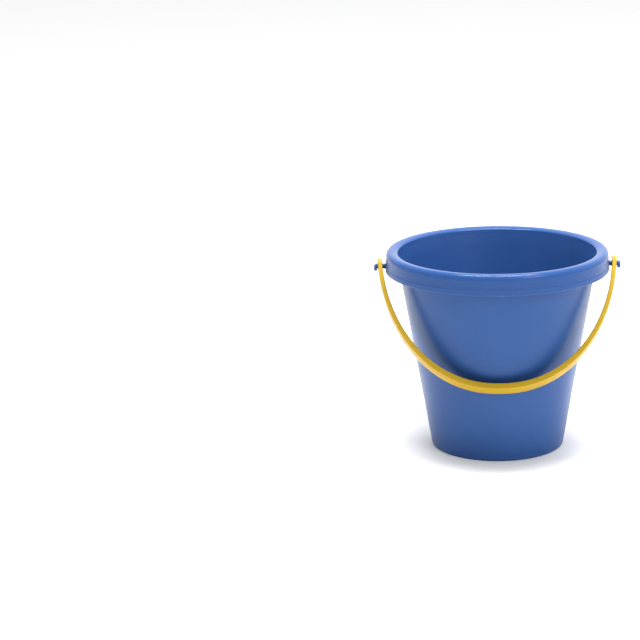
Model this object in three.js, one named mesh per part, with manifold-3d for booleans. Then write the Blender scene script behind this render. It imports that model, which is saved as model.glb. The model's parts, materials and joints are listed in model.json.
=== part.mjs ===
// A toy sand bucket: a moulded plastic tub with a rolled rim and two pegs, and a bail handle
// that swings on the pegs. Millimetres, +Z up, X through the pegs, origin at the centre of the
// plane the tub stands on. The handle is drawn at rest, hanging in front (-Y) on the tub's wall.
import * as THREE from "three";
import { mergeVertices } from "three/addons/utils/BufferGeometryUtils.js";
import Module from "manifold-3d";

const wasm = await Module();
wasm.setup();

// Tub: height, wall and floor
const TUB_HEIGHT = 180.8;
const WALL_FOOT_RADIUS = 59.7; // outside of the wall, carried down to the standing plane
const WALL_TOP_RADIUS = 90.9; // outside of the wall, carried up to the top of the rim
const WALL_THICKNESS = 1.8;
const FLOOR_THICKNESS = 2.2;
const FOOT_WIDTH = 6; // flat ring that the tub stands on
const FOOT_HEIGHT = 1.5; // how far the floor is raised inside the foot ring
const OUTER_CORNER = 2; // rounding between the foot ring and the wall
const INNER_CORNER = 4; // rounding between the floor and the wall, inside

// Tub: rolled rim, with its skirt turned down outside the wall
const RIM_RADIUS = 99.8; // outside of the skirt
const RIM_ROUND_HEIGHT = 5.2; // rounding of the outer edge
const RIM_THICKNESS = 2;
const CREST_RADIUS = 95.4; // highest ring of the rim
const CREST_DROP = 3; // from the crest down to the inner edge
const MOUTH_RADIUS = 88.9; // inside of the mouth, below the rounded inner edge
const MOUTH_ROUND = 4.5; // from the mouth to the top of the bend under the rim
const MOUTH_BLEND = 12; // the mouth runs into the inside of the wall over this height
const SKIRT_HEIGHT = 18.4; // from the top of the rim to the skirt's lower edge
const HEM_HEIGHT = 5; // raised band round the skirt's lower edge
const HEM_PROUD = 0.5; // how far the hem stands out from the skirt
const HEM_ROUND = 1; // rounding of the hem's lower edge

// Pegs that carry the handle
const PEG_HEIGHT = 166.6; // peg axis above the standing plane
const PEG_RADIUS = 2.4;
const PEG_END = 110.6; // outer end of the head, from the tub's axis
const HEAD_THICKNESS = 2.8;
const HEAD_RADIUS = 3.1;
const HEAD_DROP = 1.3; // the head hangs below the shaft, which keeps the handle on
const HEAD_ROUND = 1;
const GUSSET_THICKNESS = 2; // web behind each peg, between wall and skirt

// Handle: a bow of flat band, thickest at the grip, with its tips run past the pegs
const HANDLE_HALF_SPAN = 105.2; // tub axis to the middle of the band at the tips
const HANDLE_REACH = 121.8; // peg axis to the middle of the band at the grip
const BOW_TAPER = 0.066; // how fast the two arms close in from the pegs down
const BOW_POWER = 2.19; // 2 is an ellipse; more makes the lower corners fuller
const BAND_WIDTH = 11.8;
const BAND_END_THICKNESS = 4.2;
const BAND_GRIP_THICKNESS = 6;
const BAND_EDGE = 0.7; // chamfer along the band's edges
const BAND_TIP = 7.2; // peg axis to the tips, which are level with the centre of the bow
const EAR_HOLE_RADIUS = 3;
const CHANNEL_RIB = 2; // rib left on each side of the channel in the band's inner face
const CHANNEL_GRIP_DEPTH = 2.5;
const CHANNEL_END_DEPTH = 1.2;
const CHANNEL_STOP = 20; // the channel ends this far below the peg axis
const HANDLE_LEAN = 40.2; // degrees from hanging straight down, held off by the wall

// Fineness of the facets
const TUB_SEGMENTS = 64;
const ARC_STEPS = 2; // three.js makes twice as many chords on each arc
const PEG_SEGMENTS = 20;
const BAND_STEPS = 44;

// Small overlaps that let pieces of one moulding join
const JOIN = 0.8;
const CUT_CLEARANCE = 5;

const BLUE = 0x1f56b8;
const YELLOW = 0xf5bd1c;

const HALF_PI = Math.PI / 2;
const wallSlope = (WALL_TOP_RADIUS - WALL_FOOT_RADIUS) / TUB_HEIGHT;
const wallLean = Math.atan(wallSlope);
const skirtBottom = TUB_HEIGHT - SKIRT_HEIGHT;
const skirtInside = RIM_RADIUS - RIM_THICKNESS;
const roundBase = TUB_HEIGHT - RIM_ROUND_HEIGHT;
const roundCentre = MOUTH_RADIUS + MOUTH_ROUND;
const landTop = TUB_HEIGHT - MOUTH_ROUND;

function wallOutside(z) {
  return WALL_FOOT_RADIUS + wallSlope * z;
}

function wallInside(z) {
  return wallOutside(z) - WALL_THICKNESS / Math.cos(wallLean);
}

// ---- joining and cutting ----

function toSolid(geometry) {
  const bare = geometry.index ? geometry.toNonIndexed() : geometry.clone();
  bare.deleteAttribute("normal");
  bare.deleteAttribute("uv");
  const merged = mergeVertices(bare, 1e-4);
  return new wasm.Manifold(
    new wasm.Mesh({
      numProp: 3,
      vertProperties: new Float32Array(merged.attributes.position.array),
      triVerts: new Uint32Array(merged.index.array),
    }),
  );
}

function toGeometry(solid) {
  const mesh = solid.getMesh();
  const geometry = new THREE.BufferGeometry();
  geometry.setAttribute("position", new THREE.BufferAttribute(mesh.vertProperties, mesh.numProp));
  geometry.setIndex(new THREE.BufferAttribute(mesh.triVerts, 1));
  geometry.computeVertexNormals();
  return geometry;
}

// A profile drawn as (radius, height) and turned about the Z axis
function turned(path, segments) {
  const geometry = new THREE.LatheGeometry(path.getPoints(ARC_STEPS), segments);
  geometry.rotateX(HALF_PI);
  return geometry;
}

// ---- tub ----

function drawFoot(path) {
  const cornerX = WALL_FOOT_RADIUS + OUTER_CORNER * (wallSlope - 1 / Math.cos(wallLean));
  const footInside = cornerX - FOOT_WIDTH;
  path.moveTo(0, FOOT_HEIGHT);
  path.lineTo(footInside - FOOT_HEIGHT, FOOT_HEIGHT);
  path.lineTo(footInside, 0);
  path.lineTo(cornerX, 0);
  path.absarc(cornerX, OUTER_CORNER, OUTER_CORNER, -HALF_PI, -wallLean, false);
}

// The rim is a shell of even thickness: over the mouth's edge, outwards, and down the skirt
function drawRim(path) {
  const roundWidth = RIM_RADIUS - roundCentre;
  const bendStart = landTop - RIM_THICKNESS;
  const hemReach = RIM_RADIUS + HEM_PROUD;
  const hemTop = skirtBottom + HEM_HEIGHT;

  path.lineTo(wallOutside(bendStart), bendStart);
  path.absarc(roundCentre, landTop, MOUTH_ROUND - RIM_THICKNESS, Math.PI, HALF_PI, true);
  path.absellipse(
    roundCentre, roundBase, roundWidth - RIM_THICKNESS, RIM_ROUND_HEIGHT - RIM_THICKNESS,
    HALF_PI, 0, true, 0,
  );
  path.lineTo(skirtInside, skirtBottom);
  path.absarc(hemReach - HEM_ROUND, skirtBottom + HEM_ROUND, HEM_ROUND, -HALF_PI, 0, false);
  path.lineTo(hemReach, hemTop - HEM_PROUD);
  path.lineTo(RIM_RADIUS, hemTop);
  path.absellipse(
    CREST_RADIUS, roundBase, RIM_RADIUS - CREST_RADIUS, RIM_ROUND_HEIGHT, 0, HALF_PI, false, 0,
  );
}

function drawInside(path) {
  const floorTop = FOOT_HEIGHT + FLOOR_THICKNESS;
  const mouthEdge = TUB_HEIGHT - CREST_DROP;
  const blendEnd = mouthEdge - MOUTH_BLEND;
  const cornerHeight = floorTop + INNER_CORNER;
  const cornerX = wallInside(cornerHeight) - INNER_CORNER / Math.cos(wallLean);

  path.absellipse(
    CREST_RADIUS, mouthEdge, CREST_RADIUS - MOUTH_RADIUS, CREST_DROP, HALF_PI, Math.PI, false, 0,
  );
  path.lineTo(wallInside(blendEnd), blendEnd);
  path.absarc(cornerX, cornerHeight, INNER_CORNER, -wallLean, -HALF_PI, true);
  path.lineTo(0, floorTop);
}

function tubShell() {
  const path = new THREE.Path();
  drawFoot(path);
  drawRim(path);
  drawInside(path);
  return turned(path, TUB_SEGMENTS);
}

// A peg is turned about its own axis, then laid along X on the side given
function pegShaft(side) {
  const start = RIM_RADIUS - RIM_THICKNESS / 2;
  const end = PEG_END - HEAD_THICKNESS + JOIN;
  const geometry = new THREE.CylinderGeometry(PEG_RADIUS, PEG_RADIUS, end - start, PEG_SEGMENTS);
  geometry.rotateZ(-side * HALF_PI);
  geometry.translate(side * (start + end) / 2, 0, PEG_HEIGHT);
  return geometry;
}

function pegHead(side) {
  const path = new THREE.Path();
  path.moveTo(0, 0);
  path.lineTo(HEAD_RADIUS, 0);
  path.lineTo(HEAD_RADIUS, HEAD_THICKNESS - HEAD_ROUND);
  path.absarc(HEAD_RADIUS - HEAD_ROUND, HEAD_THICKNESS - HEAD_ROUND, HEAD_ROUND, 0, HALF_PI, false);
  path.lineTo(0, HEAD_THICKNESS);
  const geometry = new THREE.LatheGeometry(path.getPoints(ARC_STEPS), PEG_SEGMENTS);
  geometry.rotateZ(-side * HALF_PI);
  geometry.translate(side * (PEG_END - HEAD_THICKNESS), 0, PEG_HEIGHT - HEAD_DROP);
  return geometry;
}

// The web's edges are buried in the wall, the rim and the skirt
function gusset(side) {
  const bottom = skirtBottom + HEM_ROUND;
  const top = TUB_HEIGHT - RIM_THICKNESS / 2;
  const bend = (MOUTH_ROUND - RIM_THICKNESS / 2) * Math.SQRT1_2;
  const outline = new THREE.Shape([
    new THREE.Vector2(wallOutside(bottom) - JOIN, bottom),
    new THREE.Vector2(skirtInside + JOIN, bottom),
    new THREE.Vector2(skirtInside + JOIN, roundBase),
    new THREE.Vector2(roundCentre, top),
    new THREE.Vector2(roundCentre - bend, landTop + bend),
    new THREE.Vector2(wallOutside(landTop) - JOIN, landTop),
  ]);
  const geometry = new THREE.ExtrudeGeometry(outline, { depth: GUSSET_THICKNESS, bevelEnabled: false });
  geometry.translate(0, 0, -GUSSET_THICKNESS / 2);
  geometry.rotateX(HALF_PI);
  geometry.rotateZ(side > 0 ? 0 : Math.PI);
  return geometry;
}

function tubGeometry() {
  let solid = toSolid(tubShell());
  for (const side of [-1, 1]) {
    for (const piece of [pegShaft(side), pegHead(side), gusset(side)]) {
      solid = solid.add(toSolid(piece));
    }
  }
  return toGeometry(solid);
}

// ---- handle ----
// Drawn in its own plane: X across, Y from the grip (negative) to the tips, Z across the band.

// Points of the bow from the right tip round to the left one, for one half span and one depth
function bowPoints(halfSpan, depth, start) {
  const points = [];
  for (let i = 0; i <= BAND_STEPS; i += 1) {
    const angle = start + ((Math.PI - 2 * start) * i) / BAND_STEPS;
    const below = depth * Math.sin(angle) ** (2 / BOW_POWER);
    const spread = Math.abs(Math.cos(angle)) ** (2 / BOW_POWER);
    const side = i > BAND_STEPS / 2 ? -1 : 1;
    const y = BAND_TIP - below;
    points.push(new THREE.Vector2(side * (halfSpan + BOW_TAPER * y) * spread, y));
  }
  return points;
}

function bandGeometry() {
  const outerX = HANDLE_HALF_SPAN + BAND_END_THICKNESS / 2;
  const outerY = BAND_TIP + HANDLE_REACH + BAND_GRIP_THICKNESS / 2;
  const outer = bowPoints(outerX, outerY, 0);
  const inner = bowPoints(outerX - BAND_END_THICKNESS, outerY - BAND_GRIP_THICKNESS, 0).reverse();
  const raised = (point) => new THREE.Vector2(point.x, BAND_TIP + CUT_CLEARANCE);
  const outline = new THREE.Shape([
    raised(outer[0]),
    ...outer,
    raised(outer.at(-1)),
    raised(inner[0]),
    ...inner,
    raised(inner.at(-1)),
  ]);
  const depth = BAND_WIDTH - 2 * BAND_EDGE;
  const geometry = new THREE.ExtrudeGeometry(outline, {
    depth,
    bevelThickness: BAND_EDGE,
    bevelSize: BAND_EDGE,
    bevelOffset: -BAND_EDGE,
    bevelSegments: 1,
  });
  geometry.translate(0, 0, -depth / 2);
  return geometry;
}

// Everything outside this prism is trimmed off, which rounds the two ends of the band
function tipTrim() {
  const radius = BAND_WIDTH / 2;
  const centre = BAND_TIP - radius;
  const side = radius + CUT_CLEARANCE;
  const bottom = -HANDLE_REACH - BAND_GRIP_THICKNESS - CUT_CLEARANCE;
  const outline = new THREE.Shape();
  outline.moveTo(side, bottom);
  outline.lineTo(side, centre);
  outline.lineTo(radius, centre);
  outline.absarc(0, centre, radius, 0, Math.PI, false);
  outline.lineTo(-side, centre);
  outline.lineTo(-side, bottom);
  const depth = 2 * (HANDLE_HALF_SPAN + BAND_END_THICKNESS + CUT_CLEARANCE);
  const geometry = new THREE.ExtrudeGeometry(outline, {
    depth,
    bevelEnabled: false,
    curveSegments: PEG_SEGMENTS / 4,
  });
  geometry.translate(0, 0, -depth / 2);
  geometry.rotateY(HALF_PI);
  return geometry;
}

function earHoles() {
  const length = 2 * (HANDLE_HALF_SPAN + BAND_END_THICKNESS + CUT_CLEARANCE);
  const geometry = new THREE.CylinderGeometry(EAR_HOLE_RADIUS, EAR_HOLE_RADIUS, length, PEG_SEGMENTS);
  geometry.rotateZ(HALF_PI);
  return geometry;
}

function channelGeometry() {
  const halfX = HANDLE_HALF_SPAN - BAND_END_THICKNESS / 2 + CHANNEL_END_DEPTH;
  const halfY = BAND_TIP + HANDLE_REACH - BAND_GRIP_THICKNESS / 2 + CHANNEL_GRIP_DEPTH;
  const start = Math.asin(((BAND_TIP + CHANNEL_STOP) / halfY) ** (BOW_POWER / 2));
  const outline = new THREE.Shape(bowPoints(halfX, halfY, start));
  const depth = BAND_WIDTH - 2 * CHANNEL_RIB;
  const geometry = new THREE.ExtrudeGeometry(outline, {
    depth,
    bevelEnabled: false,
  });
  geometry.translate(0, 0, -depth / 2);
  return geometry;
}

function handleGeometry() {
  const solid = toSolid(bandGeometry())
    .intersect(toSolid(tipTrim()))
    .subtract(toSolid(channelGeometry()))
    .subtract(toSolid(earHoles()));
  return toGeometry(solid);
}

// ---- the bucket ----

function plasticMesh(name, geometry, color) {
  const material = new THREE.MeshStandardMaterial({ color, roughness: 0.35, metalness: 0 });
  const mesh = new THREE.Mesh(geometry, material);
  mesh.name = name;
  return mesh;
}

const bucket = new THREE.Group();

const tub = plasticMesh("tub", tubGeometry(), BLUE);
bucket.add(tub);

const handle = plasticMesh("handle", handleGeometry(), YELLOW);
handle.position.z = PEG_HEIGHT;
handle.rotation.x = THREE.MathUtils.degToRad(90 - HANDLE_LEAN);
bucket.add(handle);

export default bucket;
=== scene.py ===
"""A toy sand bucket: a blue moulded tub and a yellow bail handle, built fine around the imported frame.

Shape sizes are in millimetres, as on a drawing, and become metres when a mesh is made.
Camera and light sizes are in metres.
"""

import json
import math

import bmesh
import bpy
from mathutils import Matrix, Vector


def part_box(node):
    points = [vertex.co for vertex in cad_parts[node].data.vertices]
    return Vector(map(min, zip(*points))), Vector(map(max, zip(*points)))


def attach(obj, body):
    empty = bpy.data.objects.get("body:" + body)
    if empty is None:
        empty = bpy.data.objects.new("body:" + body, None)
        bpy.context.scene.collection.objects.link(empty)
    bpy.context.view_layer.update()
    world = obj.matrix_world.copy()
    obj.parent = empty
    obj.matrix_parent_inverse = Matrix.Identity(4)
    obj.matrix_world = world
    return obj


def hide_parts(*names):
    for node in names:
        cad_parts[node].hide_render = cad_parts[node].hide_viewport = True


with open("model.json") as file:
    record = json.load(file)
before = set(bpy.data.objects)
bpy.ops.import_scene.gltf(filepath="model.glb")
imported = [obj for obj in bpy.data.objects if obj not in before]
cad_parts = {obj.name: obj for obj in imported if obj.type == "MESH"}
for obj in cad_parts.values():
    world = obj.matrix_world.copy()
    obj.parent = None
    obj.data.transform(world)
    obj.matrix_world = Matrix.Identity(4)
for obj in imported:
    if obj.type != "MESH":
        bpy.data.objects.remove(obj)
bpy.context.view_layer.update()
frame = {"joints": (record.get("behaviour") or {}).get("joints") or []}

MM = 0.001

# ---- sizes taken from the frame ----
tub_low, tub_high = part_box("tub")
swing = frame["joints"][0]
HEIGHT = tub_high.z / MM
PEG_END = tub_high.x / MM
HEM_REACH = tub_high.y / MM
PEG_HEIGHT = swing["pos_m"][2] / MM
LEAN = math.radians(180 - swing["range_deg"][1] / 2)

# ---- tub, in mm ----
WALL_FOOT_RADIUS = 59.7
WALL_TOP_RADIUS = 90.9
WALL_THICKNESS = 1.8
FLOOR_THICKNESS = 2.2
FOOT_WIDTH = 6
FOOT_HEIGHT = 1.5
OUTER_CORNER = 2
INNER_CORNER = 4
GATE_RADIUS = 5
GATE_DEPTH = 0.5
GATE_NUB = 1.2

RIM_RADIUS = 99.8
RIM_ROUND_HEIGHT = 5.2
RIM_THICKNESS = 2
MOUTH_RADIUS = 88.9
MOUTH_ROUND = 4.5
CREST_RADIUS = 95.4
CREST_DROP = 2.4
CREST_SQUARENESS = 0.9
MOUTH_BLEND = 12
SKIRT_HEIGHT = 18.4
SKIRT_LIP = 0.6
HEM_HEIGHT = 5
HEM_ROUND = 1

# Turning lines left by the tool on the outside of the wall
RING_PITCH = 4.3
RING_RELIEF = 0.12
RING_WIDTH = 0.9
RING_LOWEST = 92
RING_HIGHEST = 160

PEG_RADIUS = 2.4
PEG_ROOT_FLARE = 0.9
HEAD_THICKNESS = 2.8
HEAD_RADIUS = 3.1
HEAD_DROP = 1.3
HEAD_ROUND = 1
GUSSET_THICKNESS = 2

# ---- handle, in mm ----
HANDLE_HALF_SPAN = 105.2
HANDLE_REACH = 121.8
BOW_TAPER = 0.066
BOW_POWER = 2.19
BAND_WIDTH = 11.8
BAND_END_THICKNESS = 4.2
BAND_GRIP_THICKNESS = 6
BAND_TIP = 7.2
BAND_ROUND = 0.9
BAND_CROWN = 0.25
EAR_HOLE_RADIUS = 3
EAR_HOLE_CHAMFER = 0.4
CHANNEL_RIB = 2
CHANNEL_ROUND = 0.5
CHANNEL_GRIP_DEPTH = 2.5
CHANNEL_END_DEPTH = 1.2
CHANNEL_STOP = 20
CHANNEL_RUNOUT = 7

# Towards a tip the band narrows, and these shares keep its rounds and ribs from meeting
ROUND_SHARE_OF_WIDTH = 0.6
ROUND_SHARE_OF_THICKNESS = 0.3
RIB_SHARE_OF_WIDTH = 0.34
CHANNEL_ROUND_SHARE_OF_RIB = 0.25
FULL_CROWN_HALF_WIDTH = 5
CROWN_STOPS = (0, 0.3, 0.6, 0.8, 0.93)

# ---- fineness, in mm, degrees and counts ----
AROUND = 240
LINE_STEP = 2.5
EDGE_STEP = 0.3
ARC_CHORDS = 7
SMALL_ARC_CHORDS = 4
BAND_ROUND_CHORDS = 4
CHANNEL_ROUND_CHORDS = 3
BAND_STATIONS = 150
TIP_STATIONS = 14
PEG_SEGMENTS = 48
CUTTER_REACH = 6
SHARP_ANGLE = 38
TINY = 1e-6

# ---- colours, linear red, green and blue ----
TUB_DEEP = (0.020, 0.070, 0.232)
TUB_PALE = (0.022, 0.076, 0.252)
HANDLE_DEEP = (0.440, 0.274, 0.009)
HANDLE_PALE = (0.480, 0.302, 0.011)
FLOOR_DEEP = (0.89, 0.89, 0.89)
FLOOR_PALE = (0.91, 0.91, 0.91)
WHITE = (1, 1, 1)

# ---- plastic: shares, and lengths in metres ----
SATIN = 0.335
POLISHED = 0.12
POLISH_BLEND = 0.004
# A height above the whole part, for a plastic with no polished top
NEVER_POLISHED = 1.0
PLASTIC_IOR = 1.5
PLASTIC_SPECULAR = 0.22
TUB_TRANSLUCENCY = 0.06
HANDLE_TRANSLUCENCY = 0.12
SCATTER_DEPTH = 0.004

CLOUD_SCALE = 14.0
GRAIN_SCALE = 900.0
HANDLING_SCALE = 38.0
# Stretch of the tool lines: rings round the tub, and lines across the band
RINGS_ROUND = (0, 0, 500)
LINES_ACROSS = (60, 0, 0)

GRAIN_DEPTH = 0.00004
GRAIN_STRENGTH = 0.3
LINE_DEPTH = 0.00003
LINE_STRENGTH = 0.5
HANDLING_DEPTH = 0.0002
HANDLING_STRENGTH = 0.05
POLISHED_RELIEF = 0.25

RUBBED_EDGE = (0.52, 0.62)
RUBBED_LIGHTER = 0.18
RUBBED_ROUGHER = 0.12
HANDLING_ROUGHER = (-0.03, 0.05)
LINES_ROUGHER = (-0.02, 0.02)

# ---- floor ----
FLOOR_SIZE = 40
FLOOR_CELLS = 8
FLOOR_CLOUD_SCALE = 3.0
FLOOR_GRAIN_SCALE = 60.0
FLOOR_ROUGHNESS = (0.55, 0.65)
FLOOR_SPECULAR = 0.2

# ---- camera, in metres, degrees and, for its lens, mm ----
CAMERA_PLACE = (-0.0665, -1.9237, 0.6326)
CAMERA_TURN_LEFT = 2.797
CAMERA_TILT_DOWN = 14.99
CAMERA_ROLL = -1.43
CAMERA_LENS = 123.37
CAMERA_SENSOR = 36

# ---- light, in metres and watts; the sky is brighter towards its slope ----
WORLD_STRENGTH = 0.8
WORLD_SLOPE = (0.24, 0.42, 0.28)
LIGHT_AIM = (0, 0, 0.1)
LIGHTS = [
    {"name": "top", "place": (0, -0.02, 1.6), "width": 1.1, "height": 0.4, "power": 43},
    {"name": "key", "place": (1.0, -1.3, 1.1), "width": 0.8, "height": 0.8, "power": 9},
]

HALF_PI = math.pi / 2
wall_slope = (WALL_TOP_RADIUS - WALL_FOOT_RADIUS) / HEIGHT
wall_lean = math.atan(wall_slope)
skirt_bottom = HEIGHT - SKIRT_HEIGHT
skirt_inside = RIM_RADIUS - RIM_THICKNESS
round_base = HEIGHT - RIM_ROUND_HEIGHT
round_centre = MOUTH_RADIUS + MOUTH_ROUND
land_top = HEIGHT - MOUTH_ROUND


def mix(a, b, t):
    return a + (b - a) * t


def spaced(start, end, chords):
    return [mix(start, end, i / chords) for i in range(chords + 1)]


def smooth_step(x, low, high):
    t = min(1, max(0, (x - low) / (high - low)))
    return t * t * (3 - 2 * t)


def wall_outside(z):
    return WALL_FOOT_RADIUS + wall_slope * z


def wall_inside(z):
    return wall_outside(z) - WALL_THICKNESS / math.cos(wall_lean)


# ---- drawing outlines ----


class Outline:
    """A run of (radius, height) points; straight stretches carry extra points near their ends."""

    def __init__(self, x, y):
        self.points = [(x, y)]

    def line_to(self, x, y):
        x0, y0 = self.points[-1]
        length = math.hypot(x - x0, y - y0)
        if length < TINY:
            return
        stops = [length]
        if length > 4 * EDGE_STEP:
            count = max(1, math.ceil((length - 2 * EDGE_STEP) / LINE_STEP))
            stops = spaced(EDGE_STEP, length - EDGE_STEP, count) + [length]
        for s in stops:
            self.points.append((mix(x0, x, s / length), mix(y0, y, s / length)))

    def arc(self, cx, cy, rx, ry, start, end, chords=ARC_CHORDS, squareness=1.0):
        """Part of an ellipse; a squareness under 1 pushes its four corners out."""
        for i, a in enumerate(spaced(start, end, chords)):
            x = cx + rx * math.copysign(abs(math.cos(a)) ** squareness, math.cos(a))
            y = cy + ry * math.copysign(abs(math.sin(a)) ** squareness, math.sin(a))
            if i:
                self.points.append((x, y))
            else:
                self.line_to(x, y)

    def wall_rings_to(self, z_end):
        """Climbs the outside of the wall, stepping through each turning line on the way."""
        count = int((RING_HIGHEST - RING_LOWEST) / RING_PITCH)
        for i in range(count + 1):
            z = RING_LOWEST + i * RING_PITCH
            self.line_to(wall_outside(z - RING_WIDTH), z - RING_WIDTH)
            relief = RING_RELIEF * smooth_step(z, RING_LOWEST - RING_PITCH, RING_HIGHEST)
            self.points.append((wall_outside(z) + relief, z))
            top = z + RING_WIDTH
            self.points.append((wall_outside(top), top))
        self.line_to(wall_outside(z_end), z_end)


def draw_underside(path):
    corner_x = WALL_FOOT_RADIUS + OUTER_CORNER * (wall_slope - 1 / math.cos(wall_lean))
    foot_inside = corner_x - FOOT_WIDTH
    path.line_to(GATE_NUB, FOOT_HEIGHT + GATE_DEPTH - GATE_NUB / 2)
    path.line_to(GATE_NUB, FOOT_HEIGHT + GATE_DEPTH)
    path.line_to(GATE_RADIUS - GATE_DEPTH, FOOT_HEIGHT + GATE_DEPTH)
    path.line_to(GATE_RADIUS, FOOT_HEIGHT)
    path.line_to(foot_inside - 2 * FOOT_HEIGHT, FOOT_HEIGHT)
    path.arc(foot_inside - FOOT_HEIGHT, FOOT_HEIGHT / 2, FOOT_HEIGHT, FOOT_HEIGHT / 2, HALF_PI, 0,
             SMALL_ARC_CHORDS)
    path.arc(foot_inside + FOOT_HEIGHT / 2, FOOT_HEIGHT / 2, FOOT_HEIGHT / 2, FOOT_HEIGHT / 2,
             math.pi, 3 * HALF_PI, SMALL_ARC_CHORDS)
    path.arc(corner_x, OUTER_CORNER, OUTER_CORNER, OUTER_CORNER, -HALF_PI, -wall_lean)


def draw_rim(path):
    """The rim from the top of the wall's outside: its underside, the skirt, the hem and the top."""
    round_width = RIM_RADIUS - round_centre
    bend = MOUTH_ROUND - RIM_THICKNESS
    hem_top = skirt_bottom + HEM_HEIGHT
    hem_proud = HEM_REACH - RIM_RADIUS

    path.arc(round_centre, land_top, bend, bend, math.pi, HALF_PI)
    path.arc(round_centre, round_base, round_width - RIM_THICKNESS, RIM_ROUND_HEIGHT - RIM_THICKNESS,
             HALF_PI, 0)
    path.arc(skirt_inside + SKIRT_LIP, skirt_bottom + SKIRT_LIP, SKIRT_LIP, SKIRT_LIP,
             math.pi, 3 * HALF_PI, SMALL_ARC_CHORDS)
    path.arc(HEM_REACH - HEM_ROUND, skirt_bottom + HEM_ROUND, HEM_ROUND, HEM_ROUND, -HALF_PI, 0)
    path.arc(RIM_RADIUS, hem_top - hem_proud, hem_proud, hem_proud, 0, HALF_PI, SMALL_ARC_CHORDS)
    path.arc(CREST_RADIUS, round_base, RIM_RADIUS - CREST_RADIUS, RIM_ROUND_HEIGHT, 0, HALF_PI,
             2 * ARC_CHORDS, CREST_SQUARENESS)


def draw_inside(path):
    floor_top = FOOT_HEIGHT + FLOOR_THICKNESS
    blend_end = HEIGHT - CREST_DROP - MOUTH_BLEND
    corner_height = floor_top + INNER_CORNER
    corner_x = wall_inside(corner_height) - INNER_CORNER / math.cos(wall_lean)

    path.arc(CREST_RADIUS, HEIGHT - CREST_DROP, CREST_RADIUS - MOUTH_RADIUS, CREST_DROP,
             HALF_PI, math.pi, 3 * ARC_CHORDS)
    path.line_to(wall_inside(blend_end), blend_end)
    path.arc(corner_x, corner_height, INNER_CORNER, INNER_CORNER, -wall_lean, -HALF_PI)
    path.line_to(0, floor_top)


def tub_outline():
    path = Outline(0, FOOT_HEIGHT + GATE_DEPTH - GATE_NUB / 2)
    draw_underside(path)
    path.wall_rings_to(land_top - RIM_THICKNESS)
    draw_rim(path)
    draw_inside(path)
    return path.points


# ---- meshes ----


def mesh_object(name, bm):
    bmesh.ops.recalc_face_normals(bm, faces=bm.faces)
    for face in bm.faces:
        face.smooth = True
    mesh = bpy.data.meshes.new(name)
    bm.to_mesh(mesh)
    bm.free()
    obj = bpy.data.objects.new(name, mesh)
    bpy.context.scene.collection.objects.link(obj)
    return obj


def turned_bmesh(points, segments):
    """Turns (radius, height) points, in mm, about Z; points on the axis are shared."""
    bm = bmesh.new()
    rings = []
    for radius, height in points:
        if radius < TINY:
            rings.append([bm.verts.new((0, 0, height * MM))] * segments)
            continue
        ring = []
        for i in range(segments):
            a = 2 * math.pi * i / segments
            x = radius * math.cos(a) * MM
            y = radius * math.sin(a) * MM
            ring.append(bm.verts.new((x, y, height * MM)))
        rings.append(ring)
    for low, high in zip(rings, rings[1:]):
        for i in range(segments):
            j = (i + 1) % segments
            corners = []
            for v in (low[i], low[j], high[j], high[i]):
                if v not in corners:
                    corners.append(v)
            if len(corners) > 2:
                bm.faces.new(corners)
    return bm


def laid_on_x(bm, side, distance, height):
    """Turns a Z-axis mesh to point out along +X or -X, and puts its base at the distance given."""
    turn = Matrix.Rotation(side * HALF_PI, 4, "Y")
    place = Matrix.Translation((side * distance * MM, 0, height * MM))
    bmesh.ops.transform(bm, matrix=place @ turn, verts=bm.verts)
    return bm


def peg_shaft(side):
    """A peg from inside the skirt out to its head, flared where it leaves the skirt."""
    root = RIM_RADIUS - RIM_THICKNESS / 2
    reach = PEG_END - HEAD_THICKNESS / 2 - root
    path = Outline(0, 0)
    path.line_to(PEG_RADIUS + PEG_ROOT_FLARE, 0)
    path.arc(PEG_RADIUS + PEG_ROOT_FLARE, RIM_RADIUS - root + PEG_ROOT_FLARE,
             PEG_ROOT_FLARE, PEG_ROOT_FLARE, -HALF_PI, -math.pi)
    path.line_to(PEG_RADIUS, reach)
    path.line_to(0, reach)
    bm = turned_bmesh(path.points, PEG_SEGMENTS)
    return mesh_object("peg_shaft", laid_on_x(bm, side, root, PEG_HEIGHT))


def peg_head(side):
    """The rounded lip at the end of a peg; it hangs a little lower than the shaft."""
    path = Outline(0, 0)
    base_round = HEAD_ROUND / 2
    path.arc(HEAD_RADIUS - base_round, base_round, base_round, base_round, -HALF_PI, 0, SMALL_ARC_CHORDS)
    path.arc(HEAD_RADIUS - HEAD_ROUND, HEAD_THICKNESS - HEAD_ROUND, HEAD_ROUND, HEAD_ROUND, 0, HALF_PI)
    path.line_to(0, HEAD_THICKNESS)
    bm = turned_bmesh(path.points, PEG_SEGMENTS)
    base = PEG_END - HEAD_THICKNESS
    return mesh_object("peg_head", laid_on_x(bm, side, base, PEG_HEIGHT - HEAD_DROP))


def gusset(side):
    """The web behind a peg, under the rim, from the wall to the skirt."""
    top = HEIGHT - RIM_THICKNESS / 2
    bottom = skirt_bottom + HEM_ROUND
    buried = RIM_THICKNESS / 2
    bend = (MOUTH_ROUND - buried) * math.sin(HALF_PI / 2)
    corners = [
        (wall_outside(bottom) - buried, bottom),
        (skirt_inside + buried, bottom),
        (skirt_inside + buried, round_base),
        (round_centre, top),
        (round_centre - bend, land_top + bend),
        (wall_outside(land_top) - buried, land_top),
    ]
    bm = bmesh.new()
    half = GUSSET_THICKNESS / 2
    near = [bm.verts.new((side * x * MM, -half * MM, z * MM)) for x, z in corners]
    far = [bm.verts.new((side * x * MM, half * MM, z * MM)) for x, z in corners]
    bm.faces.new(near)
    bm.faces.new(far[::-1])
    for i in range(len(corners)):
        j = (i + 1) % len(corners)
        bm.faces.new((near[j], near[i], far[i], far[j]))
    return mesh_object("gusset", bm)


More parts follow.
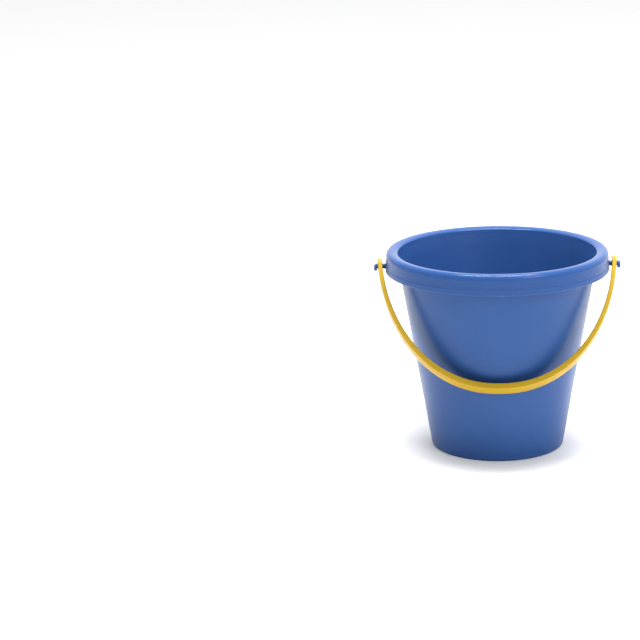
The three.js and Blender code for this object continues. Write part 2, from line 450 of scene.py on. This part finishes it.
def combine(target, tools, operation):
    """Joins the tools to the target, or cuts them out of it, and applies the result."""
    for tool in tools:
        step = target.modifiers.new(operation.lower(), "BOOLEAN")
        step.operation = operation
        step.solver = "EXACT"
        step.object = tool
    graph = bpy.context.evaluated_depsgraph_get()
    result = bpy.data.meshes.new_from_object(target.evaluated_get(graph))
    target.modifiers.clear()
    target.data = result
    for tool in tools:
        bpy.data.objects.remove(tool)
    result.set_sharp_from_angle(angle=math.radians(SHARP_ANGLE))
    return target


def make_tub():
    shell = mesh_object("tub_moulding", turned_bmesh(tub_outline(), AROUND))
    tools = []
    for side in (-1, 1):
        tools += [peg_shaft(side), peg_head(side), gusset(side)]
    return combine(shell, tools, "UNION")


# ---- handle ----
# The band follows a bow, a little fuller than half an ellipse, whose arms close in from the pegs
# down. t runs from one tip (0) over the grip to the other tip (pi).


def bow_depth(t):
    """How far below the tips the band is, as a fraction of its whole depth."""
    return math.sin(t) ** (2 / BOW_POWER)


def bow_angle(depth):
    return math.asin(depth ** (BOW_POWER / 2))


def band_thickness(t):
    return math.hypot(BAND_END_THICKNESS * math.cos(t), BAND_GRIP_THICKNESS * math.sin(t))


def band_point(t, across, out):
    """A point of the band: across its width and out from its middle surface, in mm."""
    v = out / band_thickness(t)
    y = BAND_TIP - (BAND_TIP + HANDLE_REACH + v * BAND_GRIP_THICKNESS) * bow_depth(t)
    spread = math.copysign(abs(math.cos(t)) ** (2 / BOW_POWER), math.cos(t))
    x = (HANDLE_HALF_SPAN + v * BAND_END_THICKNESS + BOW_TAPER * y) * spread
    return Vector((x * MM, y * MM, across * MM))


def band_section(half_width, thickness, channel):
    """Points (across, out) round one section of the band, with the channel in its inner face."""
    half = thickness / 2
    r = min(BAND_ROUND, half_width * ROUND_SHARE_OF_WIDTH, thickness * ROUND_SHARE_OF_THICKNESS)
    rib = min(CHANNEL_RIB, half_width * RIB_SHARE_OF_WIDTH)
    c = min(CHANNEL_ROUND, rib * CHANNEL_ROUND_SHARE_OF_RIB)
    inner = half_width - rib
    bend = min(c, channel / 2)
    crown = BAND_CROWN * min(1, half_width / FULL_CROWN_HALF_WIDTH)

    right = [((half_width - r) * f, half - crown * f * f) for f in CROWN_STOPS]
    edge = right[-1][1]
    for a in spaced(HALF_PI, 0, BAND_ROUND_CHORDS):
        right.append((half_width - r + r * math.cos(a), edge - r + r * math.sin(a)))
    right.append((half_width, edge - r - EDGE_STEP))
    right.append((half_width, 0))
    right.append((half_width, -half + r + EDGE_STEP))
    for a in spaced(0, -HALF_PI, BAND_ROUND_CHORDS):
        right.append((half_width - r + r * math.cos(a), -half + r + r * math.sin(a)))
    for a in spaced(0, HALF_PI, CHANNEL_ROUND_CHORDS):
        right.append((inner + c - c * math.sin(a), -half + bend * (1 - math.cos(a))))
    for a in spaced(HALF_PI, 0, CHANNEL_ROUND_CHORDS):
        right.append((inner - c + c * math.sin(a), -half + channel - bend * (1 - math.cos(a))))
    right.append((inner / 2, -half + channel))
    right.append((0, -half + channel))
    left = [(-x, y) for x, y in right[-2:0:-1]]
    return right + left


def band_stations():
    """(t, half width) pairs from tip to tip; the half width closes in a round at each end."""
    radius = BAND_WIDTH / 2
    depth = BAND_TIP + HANDLE_REACH
    tip = []
    for a in spaced(0, HALF_PI, TIP_STATIONS)[1:]:
        tip.append((bow_angle(radius * (1 - math.cos(a)) / depth), radius * math.sin(a)))
    start = tip[-1][0]
    middle = [(t, radius) for t in spaced(start, math.pi - start, BAND_STATIONS)[1:-1]]
    mirrored = [(math.pi - t, w) for t, w in reversed(tip)]
    return tip + middle + mirrored


def channel_depth(t):
    """The channel starts a little way in from each tip, and is deepest at the grip."""
    from_tip = (BAND_TIP + HANDLE_REACH) * bow_depth(t)
    start = BAND_TIP + CHANNEL_STOP
    opened = smooth_step(from_tip, start, start + CHANNEL_RUNOUT)
    return mix(CHANNEL_END_DEPTH, CHANNEL_GRIP_DEPTH, math.sin(t)) * opened


def make_band():
    bm = bmesh.new()
    rings = []
    for t, half_width in band_stations():
        section = band_section(half_width, band_thickness(t), channel_depth(t))
        rings.append([bm.verts.new(band_point(t, across, out)) for across, out in section])
    for a, b in zip(rings, rings[1:]):
        for i in range(len(a)):
            j = (i + 1) % len(a)
            bm.faces.new((a[i], a[j], b[j], b[i]))
    bm.faces.new(rings[0])
    bm.faces.new(rings[-1][::-1])
    return mesh_object("handle_moulding", bm)


def ear_hole(side):
    """A cutter for one pivot hole, opened out a little at both faces of the band."""
    face = BAND_END_THICKNESS / 2
    wide = EAR_HOLE_RADIUS + EAR_HOLE_CHAMFER + CUTTER_REACH - face
    path = Outline(0, -CUTTER_REACH)
    path.line_to(wide, -CUTTER_REACH)
    path.line_to(EAR_HOLE_RADIUS, -face + EAR_HOLE_CHAMFER)
    path.line_to(EAR_HOLE_RADIUS, face - EAR_HOLE_CHAMFER)
    path.line_to(wide, CUTTER_REACH)
    path.line_to(0, CUTTER_REACH)
    bm = turned_bmesh(path.points, PEG_SEGMENTS)
    at_peg = band_point(bow_angle(BAND_TIP / (BAND_TIP + HANDLE_REACH)), 0, 0)
    return mesh_object("ear_hole", laid_on_x(bm, side, at_peg.x / MM, 0))


def make_handle():
    band = combine(make_band(), [ear_hole(-1), ear_hole(1)], "DIFFERENCE")
    swing_down = Matrix.Rotation(HALF_PI - LEAN, 4, "X")
    band.data.transform(Matrix.Translation((0, 0, PEG_HEIGHT * MM)) @ swing_down)
    return band


# ---- materials ----


class Shader:
    """A small helper that adds nodes to one material and links them."""

    def __init__(self, name):
        self.material = bpy.data.materials.new(name)
        self.material.use_nodes = True
        self.tree = self.material.node_tree
        self.surface = self.tree.nodes["Principled BSDF"]

    def add(self, kind, settings=None, **inputs):
        node = self.tree.nodes.new(kind)
        for key, value in (settings or {}).items():
            setattr(node, key, value)
        for key, value in inputs.items():
            self.plug(value, node.inputs[key.replace("_", " ")])
        return node

    def plug(self, value, socket):
        if isinstance(value, bpy.types.NodeSocket):
            self.tree.links.new(value, socket)
        else:
            socket.default_value = value

    def place(self):
        return self.add("ShaderNodeTexCoord").outputs["Object"]

    def noise(self, vector, scale, detail=3.0, roughness=0.5):
        node = self.add("ShaderNodeTexNoise", Vector=vector, Scale=scale, Detail=detail,
                        Roughness=roughness)
        return node.outputs["Fac"]

    def scaled(self, vector, factors):
        node = self.add("ShaderNodeVectorMath", {"operation": "MULTIPLY"})
        self.plug(vector, node.inputs[0])
        node.inputs[1].default_value = factors
        return node.outputs["Vector"]

    def math(self, operation, a, b=0.0):
        node = self.add("ShaderNodeMath", {"operation": operation})
        self.plug(a, node.inputs[0])
        self.plug(b, node.inputs[1])
        return node.outputs["Value"]

    def remap(self, value, low, high, to_low, to_high):
        node = self.add("ShaderNodeMapRange", Value=value, From_Min=low, From_Max=high, To_Min=to_low,
                        To_Max=to_high)
        return node.outputs["Result"]

    def blend(self, factor, a, b):
        node = self.add("ShaderNodeMix", {"data_type": "RGBA"})
        self.plug(factor, node.inputs["Factor"])
        self.plug(a, node.inputs["A"])
        self.plug(b, node.inputs["B"])
        return node.outputs["Result"]

    def bump(self, height, distance, strength, normal=None):
        node = self.add("ShaderNodeBump", Height=height, Distance=distance, Strength=strength)
        if normal:
            self.plug(normal, node.inputs["Normal"])
        return node.outputs["Normal"]


def rgb(colour):
    return (*colour, 1.0)


def moulded_plastic(name, deep, pale, stretch, satin, polished, polished_above, translucency):
    """Moulded plastic: cloudy colour, grain, tool lines, rubbed edges, and a polished part on top."""
    s = Shader(name)
    place = s.place()
    height = s.add("ShaderNodeSeparateXYZ", Vector=place).outputs["Z"]
    polish_start = polished_above - POLISH_BLEND
    clouds = s.noise(place, CLOUD_SCALE, 4.0, 0.6)
    grain = s.noise(place, GRAIN_SCALE, 2.0)
    lines = s.noise(s.scaled(place, stretch), 1.0, 4.0, 0.65)
    handling = s.noise(place, HANDLING_SCALE, 5.0, 0.7)

    cloudy = s.blend(s.remap(clouds, 0.3, 0.7, 0.0, 1.0), rgb(deep), rgb(pale))
    edge = s.add("ShaderNodeNewGeometry").outputs["Pointiness"]
    worn_patches = s.remap(handling, 0.4, 0.65, 0.1, 0.45)
    rubbed = s.math("MULTIPLY", s.remap(edge, *RUBBED_EDGE, 0.0, 1.0), worn_patches)
    lighter = rgb(mix(c, 1.0, RUBBED_LIGHTER) for c in pale)
    s.plug(s.blend(rubbed, cloudy, lighter), s.surface.inputs["Base Color"])

    smooth = s.remap(height, polish_start, polished_above, satin, polished)
    handled = s.math("ADD", smooth, s.remap(handling, 0.3, 0.7, *HANDLING_ROUGHER))
    streaked = s.math("ADD", handled, s.remap(lines, 0.3, 0.7, *LINES_ROUGHER))
    worn = s.math("ADD", streaked, s.math("MULTIPLY", rubbed, RUBBED_ROUGHER))
    s.plug(worn, s.surface.inputs["Roughness"])

    relief = s.remap(height, polish_start, polished_above, 1.0, POLISHED_RELIEF)
    grained = s.bump(grain, GRAIN_DEPTH, s.math("MULTIPLY", relief, GRAIN_STRENGTH))
    tooled = s.bump(lines, LINE_DEPTH, s.math("MULTIPLY", relief, LINE_STRENGTH), grained)
    dented = s.bump(handling, HANDLING_DEPTH, s.math("MULTIPLY", relief, HANDLING_STRENGTH), tooled)
    s.plug(dented, s.surface.inputs["Normal"])

    s.surface.inputs["IOR"].default_value = PLASTIC_IOR
    s.surface.inputs["Specular IOR Level"].default_value = PLASTIC_SPECULAR
    s.surface.inputs["Subsurface Weight"].default_value = translucency
    s.surface.inputs["Subsurface Radius"].default_value = pale
    s.surface.inputs["Subsurface Scale"].default_value = SCATTER_DEPTH
    return s.material


def floor_material():
    s = Shader("pale_floor")
    place = s.place()
    cloud = s.noise(place, FLOOR_CLOUD_SCALE)
    s.plug(s.blend(cloud, rgb(FLOOR_DEEP), rgb(FLOOR_PALE)), s.surface.inputs["Base Color"])
    grain = s.noise(place, FLOOR_GRAIN_SCALE)
    s.plug(s.remap(grain, 0.3, 0.7, *FLOOR_ROUGHNESS), s.surface.inputs["Roughness"])
    s.surface.inputs["Specular IOR Level"].default_value = FLOOR_SPECULAR
    return s.material


# ---- camera, light and floor ----


def make_camera():
    camera = bpy.data.objects.new("camera", bpy.data.cameras.new("camera"))
    bpy.context.scene.collection.objects.link(camera)
    turn = Matrix.Rotation(math.radians(CAMERA_TURN_LEFT), 4, "Z")
    tilt = Matrix.Rotation(math.radians(90 - CAMERA_TILT_DOWN), 4, "X")
    roll = Matrix.Rotation(math.radians(CAMERA_ROLL), 4, "Z")
    camera.matrix_world = Matrix.Translation(CAMERA_PLACE) @ turn @ tilt @ roll
    camera.data.lens = CAMERA_LENS
    camera.data.sensor_width = CAMERA_SENSOR
    bpy.context.scene.camera = camera


def make_light(name, place, width, height, power):
    data = bpy.data.lights.new(name, "AREA")
    data.shape = "RECTANGLE"
    data.size = width
    data.size_y = height
    data.energy = power
    light = bpy.data.objects.new(name, data)
    light.location = place
    light.visible_camera = False
    light.rotation_euler = (Vector(LIGHT_AIM) - Vector(place)).to_track_quat("-Z", "Y").to_euler()
    bpy.context.scene.collection.objects.link(light)


def make_world():
    """A white surround whose strength changes evenly with its direction."""
    world = bpy.data.worlds.new("studio")
    world.use_nodes = True
    tree = world.node_tree
    background = tree.nodes["Background"]
    background.inputs["Color"].default_value = rgb(WHITE)
    direction = tree.nodes.new("ShaderNodeTexCoord").outputs["Generated"]
    slope = tree.nodes.new("ShaderNodeVectorMath")
    slope.operation = "DOT_PRODUCT"
    slope.inputs[1].default_value = WORLD_SLOPE
    total = tree.nodes.new("ShaderNodeMath")
    total.inputs[1].default_value = WORLD_STRENGTH
    tree.links.new(direction, slope.inputs[0])
    tree.links.new(slope.outputs["Value"], total.inputs[0])
    tree.links.new(total.outputs["Value"], background.inputs["Strength"])
    bpy.context.scene.world = world


def make_floor():
    bm = bmesh.new()
    bmesh.ops.create_grid(bm, x_segments=FLOOR_CELLS, y_segments=FLOOR_CELLS, size=FLOOR_SIZE / 2)
    floor = mesh_object("floor", bm)
    floor.data.materials.append(floor_material())


def finish_piece(piece, node, body, material):
    piece.data.materials.clear()
    piece.data.materials.append(material)
    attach(piece, body)
    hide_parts(node)


make_camera()
make_world()
for light in LIGHTS:
    make_light(**light)
make_floor()
bpy.context.scene.view_settings.view_transform = "Standard"

rim_height = round_base * MM + POLISH_BLEND / 2
blue = moulded_plastic("blue_plastic", TUB_DEEP, TUB_PALE, RINGS_ROUND,
                       SATIN, POLISHED, rim_height, TUB_TRANSLUCENCY)
yellow = moulded_plastic("yellow_plastic", HANDLE_DEEP, HANDLE_PALE, LINES_ACROSS,
                         SATIN, SATIN, NEVER_POLISHED, HANDLE_TRANSLUCENCY)
finish_piece(make_tub(), "tub", "tub", blue)
finish_piece(make_handle(), "handle", "handle", yellow)
